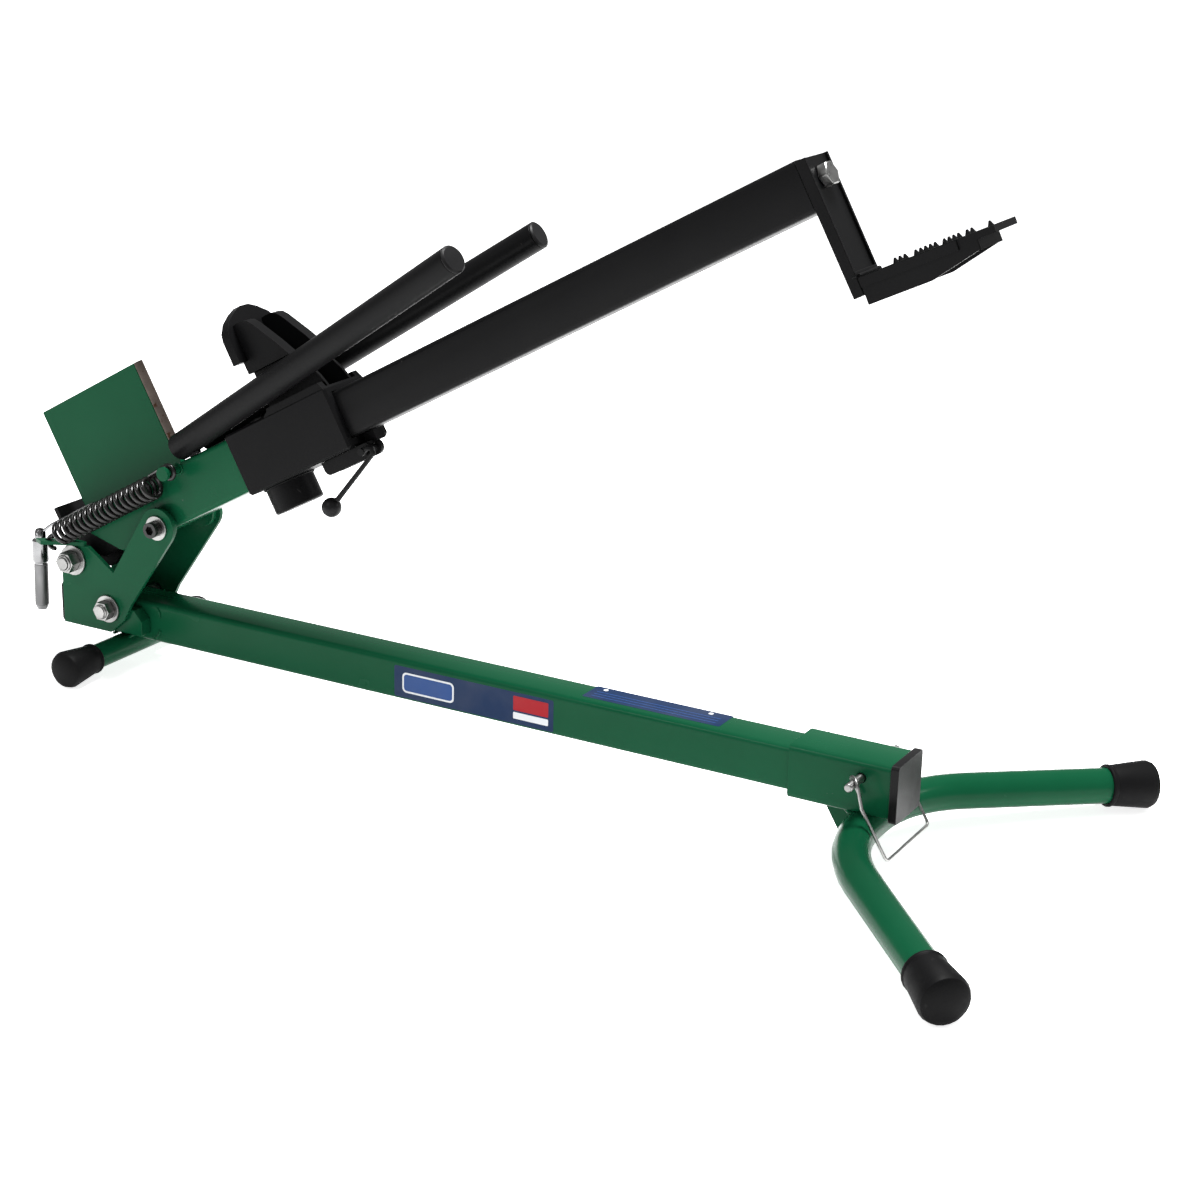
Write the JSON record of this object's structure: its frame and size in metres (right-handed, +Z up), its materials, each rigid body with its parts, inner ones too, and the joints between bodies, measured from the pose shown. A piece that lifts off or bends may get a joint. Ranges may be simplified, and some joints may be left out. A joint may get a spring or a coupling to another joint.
{
  "type": "log splitter",
  "caption": "Foot-operated manual log splitter: box-section base on tube feet, rocking splitting wedge with cradle bars, sliding push jaw on a pedal lever.",
  "frame": {"origin": "on the ground, under the centre of the bounding box", "axes": "+X along the base beam towards the pedal end, +Z up, +Y to the far side of the machine"},
  "size_m": [1.2161, 0.575, 0.655],
  "materials": {
    "bare_blade_steel": "ground edge, lightly rusted",
    "black_enamel": "satin black powder coat",
    "black_oxide_steel": "blackened spring steel, oiled",
    "black_plastic": "black moulding",
    "black_rubber": "matt black",
    "chrome_plated_steel": "bright plated, finely scratched",
    "green_enamel": "semi-gloss green enamel, worn at edges",
    "zinc_plated_steel": "zinc plated"
  },
  "bodies": {
    "base": {"base_beam": "green_enamel", "rear_end_plug": "black_plastic", "front_sleeve": "green_enamel", "front_end_cap": "black_plastic", "front_leg_tube": "green_enamel", "front_foot_cap_near": "black_rubber", "front_foot_cap_far": "black_rubber", "rear_cross_tube": "green_enamel", "rear_foot_cap_near": "black_rubber", "rear_foot_cap_far": "black_rubber", "front_gusset": "green_enamel", "side_plate_near": "green_enamel", "side_plate_far": "green_enamel", "bracket_spacer_near": "green_enamel", "bracket_spacer_far": "green_enamel", "clamp_bolt": "zinc_plated_steel", "clamp_bolt_nut": "zinc_plated_steel", "clamp_bolt_washer_near": "zinc_plated_steel", "clamp_bolt_washer_far": "zinc_plated_steel", "link_bolt": "zinc_plated_steel", "link_bolt_nut": "zinc_plated_steel", "link_bolt_washer_near": "zinc_plated_steel", "link_bolt_washer_far": "zinc_plated_steel", "pivot_washer_near": "zinc_plated_steel", "pivot_washer_far": "zinc_plated_steel", "spring_tab_near": "green_enamel", "spring_tab_far": "green_enamel", "lock_pin": "zinc_plated_steel"},
    "splitting_frame": {"arm_sleeve": "green_enamel", "wedge_plate": "green_enamel", "wedge_blade": "bare_blade_steel", "pivot_boss_near": "green_enamel", "pivot_boss_far": "green_enamel", "pivot_bolt_near": "black_oxide_steel", "pivot_bolt_far": "black_oxide_steel", "spring_pin_near": "green_enamel", "spring_pin_far": "green_enamel", "cradle_bar_near": "black_enamel", "cradle_bar_far": "black_enamel", "cradle_bar_plug_near": "black_plastic", "cradle_bar_plug_far": "black_plastic", "handle_rod": "chrome_plated_steel", "return_spring_near": "black_oxide_steel", "return_spring_far": "black_oxide_steel"},
    "ram_lever": {"lever_tube": "black_enamel", "lever_stop_plate": "black_enamel", "link_pin": "zinc_plated_steel", "pedal_strap": "black_enamel", "pedal_plate": "black_enamel", "pedal_bolt": "zinc_plated_steel"},
    "link": {"drag_link": "black_enamel"},
    "jaw": {"jaw_casting": "black_enamel", "jaw_cup": "black_enamel", "latch_bracket": "black_enamel"},
    "latch": {"latch_lever": "black_enamel", "latch_knob": "black_plastic"},
    "bail": {"lock_pin_bail": "zinc_plated_steel"},
    "handle": {"folding_handle": "chrome_plated_steel"}
  },
  "joints": [
    {"name": "frame_rock", "type": "hinge", "parent": "base", "child": "splitting_frame", "pos_m": [-0.41768, 0, 0.1765], "axis": [0, 1, 0], "range_deg": [0, 20], "stiffness_Nm_per_rad": 150, "springref_deg": -34.38, "deforming": ["return_spring_near", "return_spring_far"]},
    {"name": "ram_slide", "type": "slide", "parent": "splitting_frame", "child": "ram_lever", "axis": [0.8596, 0, 0.5109], "range_m": [-0.0205, 0]},
    {"name": "link_swing", "type": "hinge", "parent": "base", "child": "link", "pos_m": [-0.53412, 0, 0.11714], "axis": [0, 1, 0], "range_deg": [-31, 0]},
    {"name": "jaw_slide", "type": "slide", "parent": "ram_lever", "child": "jaw", "axis": [0.8596, 0, 0.5109], "range_m": [0, 0.33]},
    {"name": "latch_swing", "type": "hinge", "parent": "jaw", "child": "latch", "pos_m": [-0.16383, -0.03, 0.3038], "axis": [0, 1, 0], "range_deg": [-35, 18]},
    {"name": "bail_swing", "type": "hinge", "parent": "base", "child": "bail", "pos_m": [0.40167, 0, 0.08976], "axis": [0, 1, 0], "range_deg": [-100, 0]},
    {"name": "handle_swing", "type": "hinge", "parent": "splitting_frame", "child": "handle", "pos_m": [-0.59362, -0.03, 0.13244], "axis": [0, 1, 0], "range_deg": [-15, 60]}
  ],
  "couplings": [
    {"joint": "ram_slide", "follows": "frame_rock", "m_per_rad": -0.0573},
    {"joint": "link_swing", "follows": "frame_rock", "ratio": -1.52}
  ]
}
